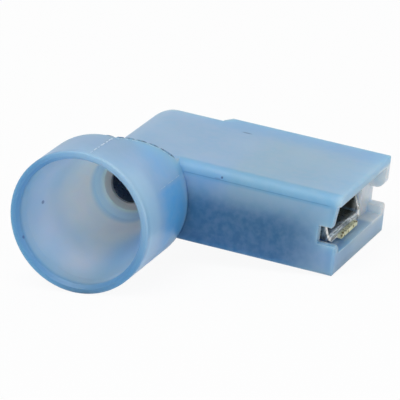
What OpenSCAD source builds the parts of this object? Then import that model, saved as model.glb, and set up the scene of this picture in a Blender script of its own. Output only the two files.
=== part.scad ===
// Right-angle push-on spade terminal in a moulded nylon housing.
// The wire enters the round cup along +Y, and the flat tab enters the mouth along -X.
// The origin is where the wire barrel's axis crosses the centre line of the tab slot.

/* [Tab and sheet] */
// Width of the flat tab that the terminal takes
tab_w = 6.35; // [5.6:0.05:6.6]
// Thickness of that tab
tab_t = 0.8; // [0.7:0.05:0.9]
// Thickness of the folded brass sheet
sheet_t = 0.4; // [0.3:0.02:0.44]

/* [Receptacle] */
// Distance from the wire axis to the front edge of the receptacle
grip_front = 18.8; // [18.2:0.1:19.2]
// Length of the receptacle's folded sides
grip_len = 8.9; // [7:0.1:9.2]
// Length of the sides' straight front ends, ahead of the rolled springs
ear_len = 2.4; // [1.8:0.1:3]
// Width of the slit between a straight front end and the rolled spring
ear_slit = 0.3; // [0.2:0.05:0.5]
// How far the front edges of the folded sides slope back at the top
side_lean = 0.9; // [0.3:0.05:1.1]
// Inner radius of the folds at the foot of the sides
fold_in = 0.3; // [0.2:0.02:0.36]
// Length of the bevelled front edge of the base
lip_len = 0.35; // [0.2:0.05:0.6]
// Drop of the bevelled front edge
lip_drop = 0.14; // [0.05:0.01:0.16]
// Side play between the tab and the folded sides
tab_play = 0.5; // [0.3:0.01:0.5]
// Height of the rolled springs above the underside of the base
roll_h = 2.75; // [2.4:0.05:3.2]
// Outer radius of the rolled top
roll_r = 1.1; // [0.95:0.05:1.2]
// Angle through which the top is rolled, measured from the outside
roll_turn = 207; // [190:1:215]
// Width of the sheared tongue left by the strip
tongue_w = 4; // [2.5:0.1:4.6]
// How far the sheared tongue stands out of the front edge
tongue_len = 0.45; // [0.2:0.05:0.6]
// Radius of the raised dimple that drops into the tab's hole
dimple_r = 0.85; // [0.6:0.05:1]
// Height of the dimple
dimple_h = 0.3; // [0.2:0.05:0.35]
// Distance of the dimple behind the front edge
dimple_back = 5; // [4:0.1:6]

/* [Neck and wire barrel] */
// Width of the neck between the receptacle and the wire barrel
neck_w = 5.2; // [4:0.1:6]
// Inner radius of the wire barrel
barrel_r = 1.75; // [1.5:0.05:1.8]
// Length of the wire barrel
barrel_len = 8; // [7:0.1:8.3]
// Width of the open seam along the top of the barrel
seam_w = 0.14; // [0.08:0.02:0.3]
// Height of the neck's steep end above the slope
neck_rise = 1.2; // [0.8:0.1:1.5]

/* [Cup] */
// Outer radius of the round wire cup
cup_r = 6.35; // [6.2:0.05:6.6]
// Wall of the cup at its rim
cup_wall = 0.75; // [0.6:0.05:1]
// Distance from the tab's centre line to the rim
cup_reach = 14.85; // [14.4:0.1:15.6]
// Length of the full round part of the cup
cup_len = 5.3; // [4.6:0.1:5.8]
// Straight depth of the cup before it narrows
cup_straight = 1.6; // [1:0.1:2.2]
// Taper of the cup's straight wall over its depth
cup_draft = 0.1; // [0:0.05:0.2]
// Small bevel on the inside of the rim
rim_round = 0.3; // [0.15:0.05:0.4]
// Small rounding on the outside of the rim and on the cup's back edge
cup_edge = 0.15; // [0.08:0.01:0.2]
// Distance of the gusset's root from the wire axis, on the cup's back edge
gusset_root = 0.6; // [0.3:0.1:1.2]
// Radius of the throat at the foot of the cup
throat_r = 2.9; // [2.7:0.05:3]
// Depth of the throat below the rim
throat_depth = 10.3; // [9.8:0.1:10.6]
// Radius of the step at the foot of the throat
ledge_r = 2.3; // [2.2:0.05:2.4]
// Length of the step from the throat to the wire guide
ledge_len = 0.7; // [0.6:0.1:0.9]
// Radius of the nylon guide in front of the wire barrel
guide_r = 1.7; // [1.6:0.02:1.74]
// Length of the nylon guide
guide_len = 0.4; // [0.3:0.05:0.5]

/* [Box] */
// Distance from the wire axis to the mouth end of the box
box_end = 20; // [19.6:0.1:20.6]
// Thickness of the box's front wall
front_wall = 0.8; // [0.7:0.05:1]
// Thickness of the box's back wall, without the raised pad
back_wall = 1.95; // [1.85:0.05:2.2]
// Height of the top face above the wire axis
box_top = 4.12; // [4:0.02:4.3]
// Depth of the underside below the wire axis
box_bottom = 3.06; // [2.96:0.02:3.2]
// Distance of the rounded end's own axis from the wire axis
round_end_x = 0.57; // [0.4:0.01:0.7]
// Rounding along the front top edge
top_round = 0.9; // [0.5:0.05:1]
// Rounding along the other long edges
edge_round = 0.25; // [0.15:0.05:0.4]
// Thickness of the raised pad on the back face
pad_t = 1.1; // [0.8:0.05:1.3]
// Distance from the wire axis to the start of the raised pad
pad_start = 5.2; // [4.4:0.1:7]
// Slope at the start of the raised pad
pad_slope = 0.65; // [0.4:0.05:1]

/* [Mouth] */
// Depth of the wider recess in front of the receptacle
recess_depth = 1.35; // [1.25:0.05:1.5]
// Floor of that recess below the wire axis
recess_floor = 1.12; // [1.05:0.01:1.3]
// Ceiling of the hollow above the wire axis
hollow_top = 3.3; // [3.1:0.02:3.4]
// Lowest edge of the side notches, above the wire axis
notch_low = -0.38; // [-0.5:0.02:-0.3]
// Highest edge of the side notches at their floor
notch_high = 1.3; // [1.2:0.05:1.5]
// Depth of the notch in the front wall
notch_front = 1.75; // [1.3:0.05:1.9]
// Depth of the notch in the back wall
notch_back = 1.35; // [1.1:0.05:1.9]
// Rounding of the upper lobe at the back
lobe_round = 0.85; // [0.5:0.05:1]
// Rounding of the lower lobes
chin_round = 0.35; // [0.2:0.05:0.5]
// How far the front wall's upper lobe stops short of the mouth, at its foot
lobe_short = 0.55; // [0.3:0.05:0.8]
// How far it stops short at the ceiling
lobe_short_top = 0.27; // [0.1:0.01:0.3]

/* [Fits] */
// Gap between the receptacle's side and the front wall
front_gap = 0.875; // [0.8:0.025:0.95]
// Gap between the receptacle's side and the back wall
back_gap = 0.125; // [0.085:0.02:0.385]
// Gap between the base of the receptacle and the floor of the hollow
floor_gap = 0.1; // [0.05:0.01:0.2]
// Gap around the wire barrel in its bore
barrel_gap = 0.15; // [0.08:0.01:0.2]
// Gap around the neck
neck_gap = 0.2; // [0.1:0.05:0.3]

/* [Hidden] */
$fn = 96;
eps = 0.01;
over = 1;
base_top = -tab_t / 2;
base_bottom = base_top - sheet_t;
side_in = tab_w / 2 + tab_play;
side_out = side_in + sheet_t;
hollow_front = side_out + front_gap;
hollow_back = side_out + back_gap;
box_front = hollow_front + front_wall;
box_back = hollow_back + back_wall;
fold_out = fold_in + sheet_t;
roll_z = base_bottom + roll_h - roll_r;
roll_y = side_out - roll_r;
side_top = base_bottom + roll_h;
lip_start = grip_front - lip_len;
roll_back = grip_front - grip_len;
roll_front = grip_front - ear_len - ear_slit;
barrel_out = barrel_r + sheet_t;
bore_r = barrel_out + barrel_gap;
box_h = box_top + box_bottom;
box_mid = (box_top - box_bottom) / 2;
rim_y = -cup_reach;
throat_y = rim_y + throat_depth;
ledge_y = throat_y + ledge_len;
barrel_front = ledge_y + guide_len + barrel_gap;
barrel_back = barrel_front + barrel_len;
floor_z = base_bottom - floor_gap;
trough_z = -bore_r;
gusset_top_x = sqrt(cup_r * cup_r - box_top * box_top);
recess_x = box_end - recess_depth;
dimple_ball = (dimple_r * dimple_r + dimple_h * dimple_h) / (2 * dimple_h);

// Part of a ring between two angles, at most 180 degrees apart
module ring_part(outer, t, from, to) {
    reach = outer * 3;
    middle = (from + to) / 2;
    intersection() {
        difference() {
            circle(r = outer);
            circle(r = outer - t);
        }
        polygon([
            [0, 0],
            [reach * cos(from), reach * sin(from)],
            [reach * cos(middle), reach * sin(middle)],
            [reach * cos(to), reach * sin(to)]
        ]);
    }
}

// A shape drawn on one side of the centre line, and again on the other
module both_sides() {
    children();
    mirror([1, 0])
        children();
}

// Foot and wall of one folded side, up to a given height, in section
module folded_side(top) {
    translate([side_in - fold_in, base_top + fold_in])
        ring_part(fold_out, sheet_t, -90, 0);
    translate([side_in, base_top + fold_in])
        square([sheet_t, top - base_top - fold_in]);
}

// One side with its top rolled over into a spring, in section
module rolled_side() {
    folded_side(roll_z);
    translate([roll_y, roll_z]) {
        ring_part(roll_r, sheet_t, 0, roll_turn / 2);
        ring_part(roll_r, sheet_t, roll_turn / 2, roll_turn);
    }
}

module base_section() {
    translate([-(side_in - fold_in), base_bottom])
        square([2 * (side_in - fold_in), sheet_t]);
}

// Stands a section drawn in Y and Z along the X axis
module along_x(from, to) {
    translate([from, 0, 0])
        rotate([90, 0, 90])
            linear_extrude(to - from)
                children();
}

// Stands a section drawn in X and Z along the Y axis
module along_y(from, to) {
    translate([0, to, 0])
        rotate([90, 0, 0])
            linear_extrude(to - from)
                children();
}

// The base with its folded sides: rolled springs, a slit, and straight front ends with sloping edges
module receptacle() {
    difference() {
        union() {
            along_x(roll_back, roll_front) {
                base_section();
                both_sides()
                    rolled_side();
            }
            along_x(roll_front - eps, roll_front + ear_slit + eps) {
                base_section();
                both_sides()
                    folded_side(roll_z);
            }
            along_x(roll_front + ear_slit, lip_start) {
                base_section();
                both_sides()
                    folded_side(side_top);
            }
            along_x(lip_start - eps, grip_front)
                both_sides()
                    folded_side(side_top);
        }
        along_y(-side_out - over, side_out + over)
            polygon([
                [grip_front, base_bottom],
                [grip_front + over, base_bottom],
                [grip_front + over, side_top + over],
                [grip_front - side_lean, side_top + eps]
            ]);
    }
}

// Front edge of the base, bent down a little
module lead_in() {
    along_y(-(side_in - fold_in), side_in - fold_in)
        polygon([
            [lip_start - eps, base_bottom],
            [grip_front, base_bottom - lip_drop],
            [grip_front, base_top - lip_drop],
            [lip_start - eps, base_top]
        ]);
}

module cut_off_tongue() {
    translate([grip_front - eps, -tongue_w / 2, base_bottom - lip_drop])
        cube([tongue_len + eps, tongue_w, sheet_t]);
}

// Cap of a ball, with its flat side on the sheet
module dimple_cap(rise) {
    translate([grip_front - dimple_back, 0, rise - dimple_ball + dimple_h])
        sphere(r = dimple_ball);
}

module dimple(top) {
    intersection() {
        dimple_cap(top);
        translate([grip_front - dimple_back, 0, top - eps])
            cylinder(r = dimple_r + over, h = dimple_h + 2 * eps);
    }
}

// The neck runs down from the base to the underside of the wire barrel
module neck() {
    along_y(-neck_w / 2, neck_w / 2)
        polygon([
            [roll_back + eps, base_bottom],
            [roll_back - neck_rise, base_bottom],
            [barrel_out, -barrel_out],
            [0, -barrel_out],
            [0, -barrel_r],
            [barrel_out, -barrel_r],
            [roll_back - neck_rise, base_top],
            [roll_back + eps, base_top]
        ]);
}

module wire_barrel() {
    along_y(barrel_front, barrel_back)
        difference() {
            circle(r = barrel_out);
            circle(r = barrel_r);
            translate([-seam_w / 2, 0])
                square([seam_w, barrel_out + over]);
        }
}

module terminal() {
    color("gainsboro")
        difference() {
            union() {
                receptacle();
                lead_in();
                cut_off_tongue();
                dimple(base_top);
                neck();
                wire_barrel();
            }
            dimple(base_bottom);
        }
}

// Outside of the box seen from the mouth, with the long edges rounded
module box_section(back) {
    difference() {
        translate([-box_front, -box_bottom])
            square([box_front + back, box_h]);
        translate([-box_front, box_top])
            corner_cut(top_round, 1, -1);
        translate([-box_front, -box_bottom])
            corner_cut(edge_round, 1, 1);
        translate([back, -box_bottom])
            corner_cut(edge_round, -1, 1);
        translate([back, box_top])
            corner_cut(edge_round, -1, -1);
    }
}

// What a rounding of radius r takes off a square corner
module corner_cut(r, sx, sy) {
    scale([sx, sy])
        difference() {
            translate([-over, -over])
                square([r + over, r + over]);
            translate([r, r])
                circle(r = r);
        }
}

// Side outline of the box, round at the wire end
module box_outline() {
    translate([round_end_x, box_mid])
        circle(r = box_h / 2);
    difference() {
        translate([round_end_x, -box_bottom])
            square([box_end - round_end_x, box_h]);
        translate([box_end, box_top])
            corner_cut(edge_round, -1, -1);
        translate([box_end, -box_bottom])
            corner_cut(edge_round, -1, 1);
    }
}

// Plan outline of the box, with the raised pad on the back face
module box_plan() {
    difference() {
        union() {
            translate([-box_h, -box_front])
                square([box_end + box_h, box_front + box_back]);
            polygon([
                [pad_start - pad_slope, 0],
                [pad_start - pad_slope, box_back],
                [pad_start, box_back + pad_t],
                [box_end, box_back + pad_t],
                [box_end, 0]
            ]);
        }
        translate([box_end, -box_front])
            corner_cut(edge_round, -1, 1);
        translate([box_end, box_back + pad_t])
            corner_cut(edge_round, -1, -1);
    }
}

module box_body() {
    intersection() {
        union() {
            along_x(-box_h, pad_start)
                box_section(box_back);
            along_x(pad_start - pad_slope, box_end)
                box_section(box_back + pad_t);
        }
        along_y(-box_front, box_back + pad_t)
            box_outline();
        translate([0, 0, -box_bottom])
            linear_extrude(box_h)
                box_plan();
    }
}

// Outside of the cup as a profile of radius against depth, with its edges rounded
module cup_profile() {
    difference() {
        square([cup_r, cup_len]);
        translate([cup_r, 0])
            corner_cut(cup_edge, -1, 1);
        translate([cup_r, cup_len])
            corner_cut(cup_edge, -1, -1);
    }
}

// The cup, its neck and the gusset that joins it to the front face
module cup_outside() {
    translate([0, rim_y, 0])
        rotate([-90, 0, 0])
            rotate_extrude()
                cup_profile();
    translate([0, rim_y + cup_len, 0])
        rotate([-90, 0, 0])
            cylinder(r1 = cup_r - cup_wall, r2 = throat_r + cup_wall, h = throat_depth - cup_len);
    translate([0, throat_y, 0])
        rotate([-90, 0, 0])
            cylinder(r1 = throat_r + cup_wall, r2 = bore_r + cup_wall, h = ledge_len);
    intersection() {
        translate([0, rim_y + cup_edge, 0])
            rotate([-90, 0, 0])
                cylinder(r = cup_r, h = cup_reach - cup_edge - box_front + top_round);
        union() {
            translate([0, 0, -cup_r])
                linear_extrude(2 * cup_r)
                    polygon([
                        [gusset_root, rim_y + cup_len - cup_edge],
                        [gusset_root, rim_y + cup_len],
                        [gusset_top_x, -box_front + eps],
                        [cup_r, -box_front + eps],
                        [cup_r, rim_y + cup_len - cup_edge]
                    ]);
            // Fills the rounded front top edge behind the gusset
            translate([gusset_top_x, -box_front - eps, 0])
                cube([cup_r, top_round + eps, box_top]);
        }
    }
}

// Inside of the cup as a profile of radius against depth
module cup_inside() {
    translate([0, rim_y, 0])
        rotate([-90, 0, 0])
            rotate_extrude()
                polygon([
                    [0, -over],
                    [cup_r - cup_wall + rim_round, -over],
                    [cup_r - cup_wall + rim_round, 0],
                    [cup_r - cup_wall, rim_round],
                    [cup_r - cup_wall - cup_draft, cup_straight],
                    [throat_r, throat_depth],
                    [ledge_r, throat_depth + ledge_len],
                    [guide_r, throat_depth + ledge_len],
                    [guide_r, throat_depth + ledge_len + guide_len],
                    [0, throat_depth + ledge_len + guide_len]
                ]);
}

module barrel_bore() {
    translate([0, barrel_front - barrel_gap, 0])
        rotate([-90, 0, 0])
            cylinder(r = bore_r, h = barrel_gap + barrel_len + neck_gap);
}

// Hollow for the receptacle, with the trough for the neck and the wider recess at the mouth
module inside_hollow() {
    translate([roll_back - neck_gap, -hollow_front, floor_z])
        cube([box_end - roll_back + neck_gap + over, hollow_front + hollow_back, hollow_top - floor_z]);
    translate([0, -neck_w / 2 - neck_gap, trough_z])
        cube([roll_back + neck_gap, neck_w + 2 * neck_gap, base_top + neck_gap - trough_z]);
    translate([recess_x, -hollow_front, -recess_floor])
        cube([recess_depth + over, hollow_front + box_back, hollow_top + recess_floor]);
    // Relief in the floor for the bevelled front edge of the base
    translate([lip_start - neck_gap, -side_in, -recess_floor])
        cube([recess_depth + neck_gap + over, 2 * side_in, recess_floor + floor_z + eps]);
}

// A side notch, open at the mouth, above a rounded lower lobe
module notch_shape(depth) {
    translate([box_end - depth, notch_low])
        square([depth + over, notch_high - notch_low]);
    translate([box_end, notch_low + eps])
        corner_cut(chin_round, -1, -1);
}

// What the front wall's upper lobe stops short of the mouth
module lobe_end() {
    polygon([
        [box_end - lobe_short, notch_high - eps],
        [box_end - lobe_short_top, hollow_top],
        [box_end + over, hollow_top],
        [box_end + over, notch_high - eps]
    ]);
}

module notches() {
    along_y(-box_front - over, -hollow_front + eps) {
        notch_shape(notch_front);
        lobe_end();
    }
    along_y(hollow_back - eps, box_back + pad_t + over) {
        notch_shape(notch_back);
        translate([box_end, notch_high - eps])
            corner_cut(lobe_round, -1, 1);
    }
}

module housing() {
    color("skyblue")
        difference() {
            union() {
                box_body();
                cup_outside();
            }
            cup_inside();
            barrel_bore();
            inside_hollow();
            notches();
        }
}

housing();
terminal();
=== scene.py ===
import math

import bmesh
import bpy
from mathutils import Matrix, Vector
from mathutils.bvhtree import BVHTree


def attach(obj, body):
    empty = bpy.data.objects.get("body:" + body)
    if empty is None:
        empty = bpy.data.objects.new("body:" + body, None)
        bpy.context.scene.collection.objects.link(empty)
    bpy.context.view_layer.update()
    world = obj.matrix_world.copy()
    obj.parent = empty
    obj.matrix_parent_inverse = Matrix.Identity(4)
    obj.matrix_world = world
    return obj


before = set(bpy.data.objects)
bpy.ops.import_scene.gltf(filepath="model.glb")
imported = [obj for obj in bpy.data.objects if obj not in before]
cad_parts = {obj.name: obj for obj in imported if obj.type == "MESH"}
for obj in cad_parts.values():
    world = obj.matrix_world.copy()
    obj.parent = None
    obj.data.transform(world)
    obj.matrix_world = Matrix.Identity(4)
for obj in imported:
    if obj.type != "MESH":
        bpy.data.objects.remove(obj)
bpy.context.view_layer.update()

MM = 0.001


# Shader building

def new_group(name, inputs, outputs):
    """A shader node group with named float, colour or vector sockets."""
    group = bpy.data.node_groups.new(name, "ShaderNodeTree")
    kinds = {"value": "NodeSocketFloat", "colour": "NodeSocketColor", "vector": "NodeSocketVector"}
    for label, kind, default in inputs:
        socket = group.interface.new_socket(label, in_out="INPUT", socket_type=kinds[kind])
        if default is not None:
            socket.default_value = default
    for label, kind in outputs:
        group.interface.new_socket(label, in_out="OUTPUT", socket_type=kinds[kind])
    return group, group.nodes.new("NodeGroupInput"), group.nodes.new("NodeGroupOutput")


def node(tree, kind, **settings):
    """A new node with its settings."""
    made = tree.nodes.new(kind)
    for key, value in settings.items():
        setattr(made, key, value)
    return made


def feed(tree, target, socket, source):
    """Links a source socket to a named or numbered input, or sets a plain value there."""
    entry = target.inputs[socket]
    if isinstance(source, bpy.types.NodeSocket):
        tree.links.new(source, entry)
    else:
        entry.default_value = source


def maths(tree, operation, a, b=None, c=None, clamp=False):
    made = node(tree, "ShaderNodeMath", operation=operation, use_clamp=clamp)
    for index, source in enumerate((a, b, c)):
        if source is not None:
            feed(tree, made, index, source)
    return made.outputs[0]


def ramp(tree, value, low, high, smooth=True):
    """0 at low and before it, 1 at high and past it. High may be the smaller of the two."""
    made = node(tree, "ShaderNodeMapRange", interpolation_type="SMOOTHSTEP" if smooth else "LINEAR")
    feed(tree, made, "Value", value)
    feed(tree, made, "From Min", low)
    feed(tree, made, "From Max", high)
    return made.outputs["Result"]


def blend_colour(tree, amount, first, second):
    """The first colour at amount 0 and the second at 1."""
    made = node(tree, "ShaderNodeMix", data_type="RGBA")
    feed(tree, made, 0, amount)
    feed(tree, made, 6, first)
    feed(tree, made, 7, second)
    return made.outputs[2]


def noise(tree, position, scale, detail=3.0, stretch=None):
    where = position
    if stretch is not None:
        mapping = node(tree, "ShaderNodeVectorMath", operation="MULTIPLY")
        feed(tree, mapping, 0, position)
        feed(tree, mapping, 1, stretch)
        where = mapping.outputs[0]
    made = node(tree, "ShaderNodeTexNoise", noise_dimensions="3D")
    feed(tree, made, "Vector", where)
    feed(tree, made, "Scale", scale)
    feed(tree, made, "Detail", detail)
    return made.outputs["Fac"]


def build_clouding():
    """Soft mottling of a moulded plastic: a slow colour drift and a finer one."""
    group, given, result = new_group(
        "Moulding cloud",
        [("Position", "vector", None), ("Slow", "value", 250.0), ("Fine", "value", 1400.0)],
        [("Slow cloud", "value"), ("Fine cloud", "value")])
    slow = noise(group, given.outputs["Position"], given.outputs["Slow"], detail=2.0)
    fine = noise(group, given.outputs["Position"], given.outputs["Fine"], detail=4.0)
    feed(group, result, "Slow cloud", ramp(group, slow, 0.3, 0.7))
    feed(group, result, "Fine cloud", ramp(group, fine, 0.3, 0.7))
    return group


def build_speck():
    """A small mark at one place: 1 at its middle and 0 outside its half sizes."""
    group, given, result = new_group(
        "Speck",
        [("Position", "vector", None), ("Place", "vector", (0, 0, 0)),
         ("Half size", "vector", (0.001, 0.001, 0.001))],
        [("Mask", "value")])
    away = node(group, "ShaderNodeVectorMath", operation="SUBTRACT")
    feed(group, away, 0, given.outputs["Position"])
    feed(group, away, 1, given.outputs["Place"])
    share = node(group, "ShaderNodeVectorMath", operation="DIVIDE")
    feed(group, share, 0, away.outputs[0])
    feed(group, share, 1, given.outputs["Half size"])
    length = node(group, "ShaderNodeVectorMath", operation="LENGTH")
    feed(group, length, 0, share.outputs[0])
    feed(group, result, "Mask", ramp(group, length.outputs["Value"], 1.0, 0.45))
    return group


def build_surface_grain():
    """Fine height for a Bump node: grain of the tool's surface and longer drawn streaks."""
    group, given, result = new_group(
        "Surface grain",
        [("Position", "vector", None), ("Grain", "value", 9000.0), ("Streaks", "vector", (1.0, 1.0, 1.0)),
         ("Streak share", "value", 0.3)],
        [("Height", "value")])
    grain = noise(group, given.outputs["Position"], given.outputs["Grain"], detail=2.0)
    stretched = node(group, "ShaderNodeVectorMath", operation="MULTIPLY")
    feed(group, stretched, 0, given.outputs["Position"])
    feed(group, stretched, 1, given.outputs["Streaks"])
    streaks = noise(group, stretched.outputs[0], 1.0, detail=3.0)
    mixed = node(group, "ShaderNodeMix", data_type="FLOAT")
    feed(group, mixed, 0, given.outputs["Streak share"])
    feed(group, mixed, 2, grain)
    feed(group, mixed, 3, streaks)
    feed(group, result, "Height", mixed.outputs[0])
    return group


def build_region():
    """A soft-edged box: 1 between its low and high corners, fading to 0 outside over the feather."""
    group, given, result = new_group(
        "Region",
        [("Position", "vector", None), ("Low", "vector", (0, 0, 0)), ("High", "vector", (0.01, 0.01, 0.01)),
         ("Feather", "vector", (0.001, 0.001, 0.001))],
        [("Mask", "value")])
    split = {}
    for label in ("Position", "Low", "High", "Feather"):
        parts = node(group, "ShaderNodeSeparateXYZ")
        feed(group, parts, 0, given.outputs[label])
        split[label] = parts.outputs
    mask = None
    for axis in range(3):
        place, feather = split["Position"][axis], split["Feather"][axis]
        above = maths(group, "SUBTRACT", place, split["Low"][axis])
        below = maths(group, "SUBTRACT", split["High"][axis], place)
        nearest = maths(group, "MINIMUM", above, below)
        side = ramp(group, maths(group, "DIVIDE", nearest, feather), -0.5, 0.5)
        mask = side if mask is None else maths(group, "MULTIPLY", mask, side)
    feed(group, result, "Mask", mask)
    return group


def build_cup_inside():
    """For a cup whose axis is Y: a mask of its inside, the way out from its foot, and the radius."""
    group, given, result = new_group(
        "Cup inside",
        [("Position", "vector", None), ("Foot", "value", -0.00455), ("Foot radius", "value", 0.0029),
         ("Slope", "value", 0.3), ("Rim radius", "value", 0.0056), ("Wall", "value", 0.0007)],
        [("Mask", "value"), ("Depth", "value"), ("Radius", "value")])
    parts = node(group, "ShaderNodeSeparateXYZ")
    feed(group, parts, 0, given.outputs["Position"])
    across = node(group, "ShaderNodeCombineXYZ")
    feed(group, across, 0, parts.outputs[0])
    feed(group, across, 2, parts.outputs[2])
    radius = node(group, "ShaderNodeVectorMath", operation="LENGTH")
    feed(group, radius, 0, across.outputs[0])
    ahead = maths(group, "SUBTRACT", given.outputs["Foot"], parts.outputs[1])
    cone = maths(group, "MULTIPLY_ADD", ahead, given.outputs["Slope"], given.outputs["Foot radius"])
    inner = maths(group, "MINIMUM", cone, given.outputs["Rim radius"])
    past_inner = maths(group, "SUBTRACT", radius.outputs["Value"], inner)
    wall_share = maths(group, "DIVIDE", past_inner, given.outputs["Wall"])
    inside = ramp(group, wall_share, 0.5, 0.15)
    before_box = ramp(group, parts.outputs[1], -0.0028, -0.0033)
    feed(group, result, "Mask", maths(group, "MULTIPLY", inside, before_box))
    feed(group, result, "Depth", ahead)
    feed(group, result, "Radius", radius.outputs["Value"])
    return group


CLOUD = build_clouding()
SPECK = build_speck()
GRAIN = build_surface_grain()
REGION = build_region()
CUP_INSIDE = build_cup_inside()


def use(tree, group, **values):
    made = node(tree, "ShaderNodeGroup", node_tree=group)
    for label, value in values.items():
        feed(tree, made, label.replace("_", " "), value)
    return made


def new_material(name):
    material = bpy.data.materials.new(name)
    material.use_nodes = True
    tree = material.node_tree
    tree.nodes.clear()
    shader = tree.nodes.new("ShaderNodeBsdfPrincipled")
    output = tree.nodes.new("ShaderNodeOutputMaterial")
    tree.links.new(shader.outputs[0], output.inputs[0])
    place = tree.nodes.new("ShaderNodeTexCoord").outputs["Object"]
    return material, tree, shader, place


def add_bump(tree, shader, height, distance, strength):
    bump = node(tree, "ShaderNodeBump")
    feed(tree, bump, "Height", height)
    feed(tree, bump, "Distance", distance)
    feed(tree, bump, "Strength", strength)
    feed(tree, shader, "Normal", bump.outputs[0])


# Materials

# Places and sizes are in millimetres, in the model's own frame.
# Each tint is a soft box: low corner, high corner, feather, colour and strength.
TINTS = {
    "bluer band along the back edge": ((3.0, 4.6, 3.6), (21.0, 8.0, 4.6), (5.0, 2.4, 0.4),
                                       (0.20, 0.42, 0.66), 0.75),
    "blue rounding along the front top edge": ((4.6, -6.6, 3.0), (19.6, -4.75, 4.3), (0.8, 0.5, 0.3),
                                               (0.18, 0.40, 0.61), 0.8),
    "bluer back of the cup": ((0.5, -10.2, 3.4), (7.0, -5.4, 7.0), (2.6, 2.6, 1.6),
                              (0.19, 0.44, 0.71), 0.8),
    # Painted light: the cup's side that faces the light is made paler in colour.
    "painted light on the side of the cup": ((3.6, -14.7, -1.0), (7.0, -12.0, 5.6), (1.6, 1.4, 2.4),
                              (0.37, 0.54, 0.70), 0.8),
    "greyer top of the cup": ((-6.0, -14.7, 3.4), (2.6, -9.0, 7.0), (2.4, 1.2, 2.2),
                              (0.26, 0.40, 0.54), 0.75),
    # Painted shade in the concave corner where the cup meets the box, over the deeper blue of the thick nylon
    # there.
    "painted shade at the thick root of the cup": ((3.9, -11.0, -3.9), (8.0, -6.2, 3.0), (2.0, 3.0, 0.8),
                              (0.11, 0.39, 0.70), 0.96),
    "deepest painted shade at the cup's root": ((4.6, -7.6, -3.9), (8.0, -5.9, 1.4), (1.0, 2.2, 3.0),
                                (0.06, 0.30, 0.58), 0.6),
    # Painted shade: the front face is darkened where it faces away from the light and where the metal behind
    # the thin wall shows through as shadow.
    "painted shade of the front wall over the metal": ((4.5, -6.0, -8.0), (17.8, -5.4, 1.5), (7.0, 0.25, 2.9),
                                         (0.034, 0.152, 0.325), 0.97),
    "fine line under the rounded edge": ((5.6, -5.9, 3.185), (19.0, -5.6, 3.245), (0.8, 0.1, 0.05),
                                         (0.08, 0.24, 0.42), 0.75),
    "shaded end of the front wall": ((19.2, -6.6, -4.6), (20.8, -1.6, 3.2), (0.5, 2.6, 0.8),
                                     (0.20, 0.36, 0.56), 0.85),
    # Painted light: the thin walls and floor of the mouth are made pale, as if lit through the nylon.
    "painted light in the lower mouth": ((19.2, 0.0, -1.9), (20.6, 8.0, -0.2), (0.6, 4.0, 0.9), (0.40, 0.52, 0.64), 0.7),
    "painted light through the thin walls of the mouth": ((18.1, 3.8, -1.3), (21.0, 8.0, 3.4), (0.6, 0.8, 0.6),
                                (0.72, 0.75, 0.77), 0.85),
}

# Dark specks and the small gate mark, as place, half size and strength
SPECKS = {
    "gate mark": ((7.45, 4.33, 4.12), (0.62, 0.17, 0.3), 0.62),
    "speck on the front edge": ((9.12, -5.72, 3.46), (0.14, 0.3, 0.14), 0.85),
    "faint smudge beside it": ((8.75, -5.72, 3.30), (0.40, 0.3, 0.10), 0.3),
    "speck in the cup": ((-4.88, -11.22, -0.42), (0.22, 0.24, 0.22), 0.6),
    "speck near the rim": ((-4.98, -14.56, -2.58), (0.17, 0.17, 0.20), 0.85),
}


def in_metres(values):
    return [value * MM for value in values]


# Outside of the nylon
DEEP_BLUE = (0.25, 0.44, 0.64, 1.0)
PALE_BLUE = (0.31, 0.48, 0.66, 1.0)
LILAC = (0.36, 0.47, 0.65, 1.0)
SPECK_COLOUR = (0.05, 0.10, 0.24, 1.0)

# Inside of the cup, from the rim to the ring of the wire guide, with painted shade near the rim and on the
# wall towards the box, and painted light where light shines through the thin wall deeper in and on the guide
# ring; each pair drifts with the slow cloud
SHADE_NEAR_RIM = ((0.27, 0.42, 0.54, 1.0), (0.32, 0.44, 0.56, 1.0))
LIT_WALL = ((0.59, 0.71, 0.89, 1.0), (0.70, 0.76, 0.91, 1.0))
LIGHT_THROUGH_DEEP_WALL = ((0.84, 0.90, 1.0, 1.0), (0.96, 0.97, 1.0, 1.0))
SHADED_BOX_SIDE_WALL = (0.34, 0.57, 0.80, 1.0)
WIRE_GUIDE = (0.54, 0.67, 0.95, 1.0)
GUIDE_RING_PAINTED_LIGHT = (0.78, 0.98, 1.0, 1.0)

# The rim's two colours, and where it starts along Y and outwards
RIM_FOOT = (0.10, 0.25, 0.43, 1.0)
RIM_TOP = (0.30, 0.45, 0.62, 1.0)
RIM_START, RIM_FULL = -13.9 * MM, -14.75 * MM
RIM_INNER, RIM_OUTER = 5.3 * MM, 5.6 * MM


def drifting(tree, cloud, pair):
    return blend_colour(tree, cloud.outputs["Slow cloud"], *pair)


def tinted_outside(tree, place, cloud):
    """The nylon's blue, with the soft tints of TINTS laid over it, some of them painted shade and painted
    light, and lightly mottled.
    """
    colour = drifting(tree, cloud, (DEEP_BLUE, PALE_BLUE))
    colour = blend_colour(tree, maths(tree, "MULTIPLY", cloud.outputs["Fine cloud"], 0.3), colour, LILAC)
    mottle = maths(tree, "MULTIPLY_ADD", cloud.outputs["Fine cloud"], -0.20, 1.04)
    for low, high, feather, shade, strength in TINTS.values():
        region = use(tree, REGION, Position=place, Low=in_metres(low), High=in_metres(high),
                     Feather=in_metres(feather))
        amount = maths(tree, "MULTIPLY", region.outputs["Mask"], strength)
        amount = maths(tree, "MULTIPLY", amount, mottle, clamp=True)
        colour = blend_colour(tree, amount, colour, (*shade, 1.0))
    return colour


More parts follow.
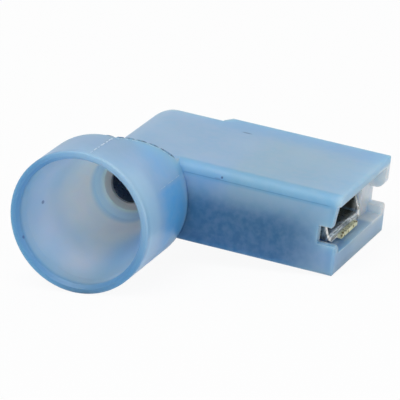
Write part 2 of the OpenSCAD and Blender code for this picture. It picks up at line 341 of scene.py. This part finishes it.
def cup_inside_colour(tree, cloud, across, depth):
    """Depth is the way out from the wire guide's foot; across grows towards the box. Its colours paint shade
    near the rim and on the wall towards the box, and light through the thin wall deeper in.
    """
    inner = blend_colour(tree, ramp(tree, depth, 5.6 * MM, 1.8 * MM), drifting(tree, cloud, LIT_WALL),
                         drifting(tree, cloud, LIGHT_THROUGH_DEEP_WALL))
    # Painted shade on the inner wall towards the box.
    box_side_shade = maths(tree, "MULTIPLY", ramp(tree, across, -0.5 * MM, 2.4 * MM),
                     ramp(tree, depth, 1.0 * MM, 5.5 * MM))
    inner = blend_colour(tree, box_side_shade, inner, SHADED_BOX_SIDE_WALL)
    # Painted shade near the rim.
    inner = blend_colour(tree, ramp(tree, depth, 10.2 * MM, 5.8 * MM), drifting(tree, cloud, SHADE_NEAR_RIM), inner)
    inner = blend_colour(tree, ramp(tree, depth, 0.9 * MM, 0.1 * MM), inner, WIRE_GUIDE)
    # Painted light: the guide ring is brightened out of its shade.
    return blend_colour(tree, ramp(tree, depth, -0.3 * MM, -0.8 * MM), inner, GUIDE_RING_PAINTED_LIGHT)


def rim_over(tree, colour, split, radius):
    """The rim is deep blue at its foot and outer side, and paler towards the box and the top."""
    upwards = maths(tree, "ADD", maths(tree, "MULTIPLY", split.outputs[0], 0.6),
                    maths(tree, "MULTIPLY", split.outputs[2], 0.8))
    rim_colour = blend_colour(tree, ramp(tree, upwards, 0.0, 7.0 * MM), RIM_FOOT, RIM_TOP)
    rim = maths(tree, "MULTIPLY", ramp(tree, split.outputs[1], RIM_START, RIM_FULL),
                ramp(tree, radius, RIM_INNER, RIM_OUTER))
    return blend_colour(tree, rim, colour, rim_colour)


def frosted_nylon():
    material, tree, shader, place = new_material("Frosted blue nylon")
    cloud = use(tree, CLOUD, Position=place)
    split = node(tree, "ShaderNodeSeparateXYZ")
    feed(tree, split, 0, place)
    cup = use(tree, CUP_INSIDE, Position=place)
    inside = cup_inside_colour(tree, cloud, split.outputs[0], cup.outputs["Depth"])
    colour = blend_colour(tree, cup.outputs["Mask"], tinted_outside(tree, place, cloud), inside)
    colour = rim_over(tree, colour, split, cup.outputs["Radius"])
    for spot, half, strength in SPECKS.values():
        speck = use(tree, SPECK, Position=place, Place=in_metres(spot), Half_size=in_metres(half))
        amount = maths(tree, "MULTIPLY", speck.outputs["Mask"], strength)
        colour = blend_colour(tree, amount, colour, SPECK_COLOUR)
    feed(tree, shader, "Base Color", colour)
    feed(tree, shader, "Roughness", maths(tree, "MULTIPLY_ADD", cloud.outputs["Slow cloud"], 0.10, 0.38))
    shader.subsurface_method = "RANDOM_WALK"
    feed(tree, shader, "Subsurface Weight", 1.0)
    feed(tree, shader, "Subsurface Radius", (2.0, 2.8, 3.6))
    feed(tree, shader, "Subsurface Scale", 1.0 * MM)
    feed(tree, shader, "IOR", 1.53)
    grain = use(tree, GRAIN, Position=place, Grain=3500.0, Streaks=(260.0, 420.0, 420.0), Streak_share=0.5)
    add_bump(tree, shader, grain.outputs["Height"], 0.02 * MM, 0.15)
    return material


# The sheet metal: painted dark inside the receptacle as its shade, banded and bright at its ends, brass where
# it was torn
TIN_IN_PAINTED_SHADE = ((0.10, 0.105, 0.085, 1.0), (0.19, 0.19, 0.16, 1.0))
BRIGHT_TIN = ((0.36, 0.36, 0.33, 1.0), (0.99, 0.98, 0.94, 1.0))
BARREL_TIN = (0.34, 0.35, 0.35, 1.0)
BARE_BRASS = ((0.34, 0.24, 0.04, 1.0), (1.0, 0.96, 0.60, 1.0))
TORN_EDGE = {"Low": (18.86, -2.1, -1.4), "High": (20.2, 2.1, -0.44), "Feather": (0.16, 0.3, 0.12)}
DRAWN_STRETCH = (5200.0, 420.0, 1500.0)


def tin_plate():
    material, tree, shader, place = new_material("Bright tin plate, bare brass at the sheared edge")
    cloud = use(tree, CLOUD, Position=place, Slow=700.0, Fine=3200.0)
    split = node(tree, "ShaderNodeSeparateXYZ")
    feed(tree, split, 0, place)
    ends = ramp(tree, split.outputs[0], 17.9 * MM, 18.6 * MM)
    barrel = ramp(tree, split.outputs[0], 5.5 * MM, 4.5 * MM)
    drawn = noise(tree, place, 1.0, detail=2.0, stretch=DRAWN_STRETCH)
    bright = blend_colour(tree, ramp(tree, drawn, 0.40, 0.58), *BRIGHT_TIN)
    # Painted shade: the metal inside the receptacle is darkened, with bright tin at the ends.
    tin = blend_colour(tree, ends, drifting(tree, cloud, TIN_IN_PAINTED_SHADE), bright)
    tin = blend_colour(tree, barrel, tin, BARREL_TIN)
    brass = blend_colour(tree, ramp(tree, cloud.outputs["Fine cloud"], 0.1, 0.5), *BARE_BRASS)
    torn = use(tree, REGION, Position=place, **{label: in_metres(size) for label, size in TORN_EDGE.items()})
    feed(tree, shader, "Base Color", blend_colour(tree, torn.outputs["Mask"], tin, brass))
    metal = maths(tree, "SUBTRACT", ramp(tree, ends, 2.2, -0.8, smooth=False),
                  maths(tree, "MULTIPLY", torn.outputs["Mask"], 0.2))
    feed(tree, shader, "Metallic", metal)
    feed(tree, shader, "Roughness", maths(tree, "MULTIPLY_ADD", cloud.outputs["Fine cloud"], 0.18, 0.24))
    grain = use(tree, GRAIN, Position=place, Grain=9000.0, Streaks=(400.0, 6000.0, 6000.0), Streak_share=0.6)
    add_bump(tree, shader, grain.outputs["Height"], 0.03 * MM, 0.4)
    return material


def moulding_mark(name, faint, strong, grain):
    """A thin line of nylon where the two halves of the mould met."""
    material, tree, shader, place = new_material(name)
    cloud = use(tree, CLOUD, Position=place, Slow=900.0, Fine=grain)
    colour = blend_colour(tree, cloud.outputs["Fine cloud"], (*faint, 1.0), (*strong, 1.0))
    feed(tree, shader, "Base Color", colour)
    feed(tree, shader, "Roughness", maths(tree, "MULTIPLY_ADD", cloud.outputs["Slow cloud"], 0.15, 0.42))
    height = use(tree, GRAIN, Position=place, Grain=5000.0, Streak_share=0.2)
    add_bump(tree, shader, height.outputs["Height"], 0.02 * MM, 0.3)
    return material


NYLON = frosted_nylon()
TIN = tin_plate()
PALE_FLASH = moulding_mark("Pale moulding flash", (0.42, 0.60, 0.76), (0.86, 0.92, 0.97), 5200.0)
FAINT_LINE = moulding_mark("Faint witness line", (0.20, 0.42, 0.64), (0.50, 0.68, 0.82), 5200.0)
# The parting seam's ridge is real; its dark colour is painted shade along the step.
SEAM_IN_PAINTED_SHADE = moulding_mark("Parting seam painted dark as its shade", (0.03, 0.08, 0.17), (0.16, 0.36, 0.58), 3600.0)


def give(piece, material):
    piece.data.materials.clear()
    piece.data.materials.append(material)


give(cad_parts["housing"], NYLON)
give(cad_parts["terminal"], TIN)


# Fine marks of the moulding, as low ridges laid on the housing

SHELL = BVHTree.FromObject(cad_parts["housing"], bpy.context.evaluated_depsgraph_get())
DOWN = Vector((0.0, 0.0, -1.0))
SIDEWAYS = Vector((-1.0, 0.0, 0.0))
CAST_FROM = 30.0 * MM
RIDGE_ROOT = 0.012 * MM
CREST_SHARE = 0.4


def laid_on(point, towards):
    """Where a line through a point, seen along a direction, meets the housing's outside."""
    start = Vector(point) * MM - towards * CAST_FROM
    place, normal, _, _ = SHELL.ray_cast(start, towards)
    return place, normal


def ridge(name, runs, towards, material, steps=14):
    """Low ridges along straight runs; each run is start, end, half width and height in millimetres."""
    shape = bmesh.new()
    for start, end, half_width, height in runs:
        start, end = Vector(start), Vector(end)
        along = (end - start).normalized()
        rows = []
        for step in range(steps + 1):
            share = step / steps
            place, normal = laid_on(start.lerp(end, share), towards)
            across = normal.cross(along).normalized()
            taper = min(1.0, 4.0 * share + 0.15, 4.0 * (1.0 - share) + 0.15)
            wobble = 1.0 + 0.25 * math.sin(9.0 * share + 40.0 * start.y)
            half = half_width * MM * taper * wobble
            crest = place + normal * height * MM * taper
            foot = place - normal * RIDGE_ROOT
            side = across * half
            corners = (foot - side, crest - side * CREST_SHARE, crest + side * CREST_SHARE, foot + side)
            rows.append([shape.verts.new(corner) for corner in corners])
        for first, second in zip(rows, rows[1:]):
            for corner in range(4):
                following = (corner + 1) % 4
                shape.faces.new((first[corner], first[following], second[following], second[corner]))
        shape.faces.new(list(reversed(rows[0])))
        shape.faces.new(rows[-1])
    bmesh.ops.recalc_face_normals(shape, faces=shape.faces)
    mesh = bpy.data.meshes.new(name)
    shape.to_mesh(mesh)
    shape.free()
    mesh.materials.append(material)
    piece = bpy.data.objects.new(name, mesh)
    bpy.context.scene.collection.objects.link(piece)
    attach(piece, "root")
    return piece


ridge("parting_flash", [
    ((0.28, -14.45, 6.3), (0.30, -13.95, 6.3), 0.05, 0.03),
    ((0.31, -13.80, 6.3), (0.30, -13.10, 6.3), 0.07, 0.04),
    ((0.34, -12.95, 6.3), (0.36, -12.60, 6.3), 0.06, 0.03),
    ((0.33, -12.45, 6.3), (0.38, -11.55, 6.3), 0.08, 0.04),
    ((0.38, -11.35, 6.3), (0.40, -10.95, 6.3), 0.06, 0.03),
    ((0.40, -10.80, 6.3), (0.44, -10.05, 6.3), 0.09, 0.05),
], DOWN, PALE_FLASH)
ridge("pale_gusset_flash", [
    ((0.55, -9.98, 6.3), (1.00, -9.75, 6.3), 0.07, 0.04),
    ((1.30, -9.30, 6.3), (2.20, -8.46, 6.0), 0.04, 0.02),
    ((2.35, -8.30, 6.0), (3.35, -7.35, 5.4), 0.04, 0.02),
    ((3.55, -7.16, 5.4), (4.55, -6.30, 4.6), 0.04, 0.02),
], DOWN, FAINT_LINE)
# A real seam ridge whose dark colour is painted shade.
ridge("gusset_seam_painted_shade", [
    ((-0.35, -9.62, 6.35), (0.45, -9.62, 6.35), 0.07, 0.04),
    ((0.60, -9.58, 6.32), (1.15, -9.08, 6.25), 0.09, 0.05),
    ((1.22, -9.02, 6.24), (1.85, -8.44, 6.10), 0.07, 0.05),
    ((1.95, -8.36, 6.05), (2.70, -7.68, 5.80), 0.08, 0.05),
    ((2.78, -7.61, 5.7), (3.55, -6.92, 5.3), 0.07, 0.05),
    ((3.62, -6.85, 5.1), (4.74, -5.86, 4.3), 0.11, 0.05),
], DOWN, SEAM_IN_PAINTED_SHADE)
ridge("crease_witness_line", [
    ((5.6, -10.80, 3.1), (5.7, -9.40, 3.1), 0.035, 0.02),
    ((5.7, -9.25, 3.1), (5.75, -6.30, 3.1), 0.04, 0.02),
], SIDEWAYS, FAINT_LINE)


# Floor, world, light and camera

# The part lies on the cup's underside and the lower edge of its mouth
FLOOR_NORMAL = Vector((-0.1666, 0.0, 0.9860))
FLOOR_TOUCH = Vector((1.06, 0.0, -6.262)) * MM
FLOOR_HALF = 1.5

# The share of plain white that seen rays get from the floor; the rest keeps its shadow
SWEEP_WHITE = 0.93


def white_for_seen_rays(tree):
    """1 for camera, glossy and transmitted rays, which see plain white, and 0 for the rest."""
    path = tree.nodes.new("ShaderNodeLightPath")
    seen = maths(tree, "MAXIMUM", path.outputs["Is Camera Ray"], path.outputs["Is Glossy Ray"])
    return maths(tree, "MAXIMUM", seen, path.outputs["Is Transmission Ray"], clamp=True)


def pale_floor():
    material = bpy.data.materials.new("White sweep")
    material.use_nodes = True
    tree = material.node_tree
    tree.nodes.clear()
    output = tree.nodes.new("ShaderNodeOutputMaterial")
    matt = tree.nodes.new("ShaderNodeBsdfDiffuse")
    feed(tree, matt, "Color", (0.86, 0.86, 0.86, 1.0))
    white = tree.nodes.new("ShaderNodeEmission")
    mix = tree.nodes.new("ShaderNodeMixShader")
    seen = white_for_seen_rays(tree)
    feed(tree, mix, 0, maths(tree, "MULTIPLY", seen, SWEEP_WHITE))
    tree.links.new(matt.outputs[0], mix.inputs[1])
    tree.links.new(white.outputs[0], mix.inputs[2])
    tree.links.new(mix.outputs[0], output.inputs[0])
    return material


def build_floor():
    mesh = bpy.data.meshes.new("floor")
    grid = bmesh.new()
    bmesh.ops.create_grid(grid, x_segments=2, y_segments=2, size=FLOOR_HALF)
    grid.to_mesh(mesh)
    grid.free()
    floor = bpy.data.objects.new("floor", mesh)
    bpy.context.scene.collection.objects.link(floor)
    turn = FLOOR_NORMAL.to_track_quat("Z", "Y").to_matrix().to_4x4()
    floor.matrix_world = Matrix.Translation(FLOOR_TOUCH) @ turn
    mesh.materials.append(pale_floor())
    return floor


def build_world():
    world = bpy.data.worlds.new("Soft white room")
    bpy.context.scene.world = world
    world.use_nodes = True
    tree = world.node_tree
    tree.nodes.clear()
    output = tree.nodes.new("ShaderNodeOutputWorld")
    room = tree.nodes.new("ShaderNodeBackground")
    feed(tree, room, "Color", (0.95, 0.97, 1.0, 1.0))
    feed(tree, room, "Strength", 0.55)
    white = tree.nodes.new("ShaderNodeBackground")
    mix = tree.nodes.new("ShaderNodeMixShader")
    tree.links.new(white_for_seen_rays(tree), mix.inputs[0])
    tree.links.new(room.outputs[0], mix.inputs[1])
    tree.links.new(white.outputs[0], mix.inputs[2])
    tree.links.new(mix.outputs[0], output.inputs[0])


def soft_lamp(name, place, aim, size, power):
    lamp = bpy.data.lights.new(name, "AREA")
    lamp.shape = "DISK"
    lamp.size = size
    lamp.energy = power
    holder = bpy.data.objects.new(name, lamp)
    bpy.context.scene.collection.objects.link(holder)
    holder.location = place
    holder.rotation_euler = (Vector(aim) - Vector(place)).to_track_quat("-Z", "Y").to_euler()
    holder.visible_camera = False
    return holder


def build_camera():
    camera = bpy.data.cameras.new("camera")
    camera.lens = 353.7
    camera.sensor_width = 36.0
    camera.sensor_fit = "HORIZONTAL"
    camera.clip_start = 0.01
    camera.clip_end = 20.0
    holder = bpy.data.objects.new("camera", camera)
    bpy.context.scene.collection.objects.link(holder)
    right = Vector((0.92227, 0.37229, 0.10399))
    up = Vector((-0.22421, 0.29608, 0.92848))
    back = Vector((0.31488, -0.87962, 0.35654))
    turn = Matrix((right, up, back)).transposed().to_4x4()
    holder.matrix_world = Matrix.Translation(Vector((113.657, -302.673, 121.337)) * MM) @ turn
    bpy.context.scene.camera = holder


build_floor()
build_world()
soft_lamp("large soft lamp", (-0.10, -0.22, 0.50), (0.005, 0, 0), 0.40, 1.3)
soft_lamp("side soft lamp", (0.55, -0.25, 0.25), (0.005, 0, 0), 0.35, 0.5)
build_camera()

bpy.context.scene.view_settings.view_transform = "Standard"
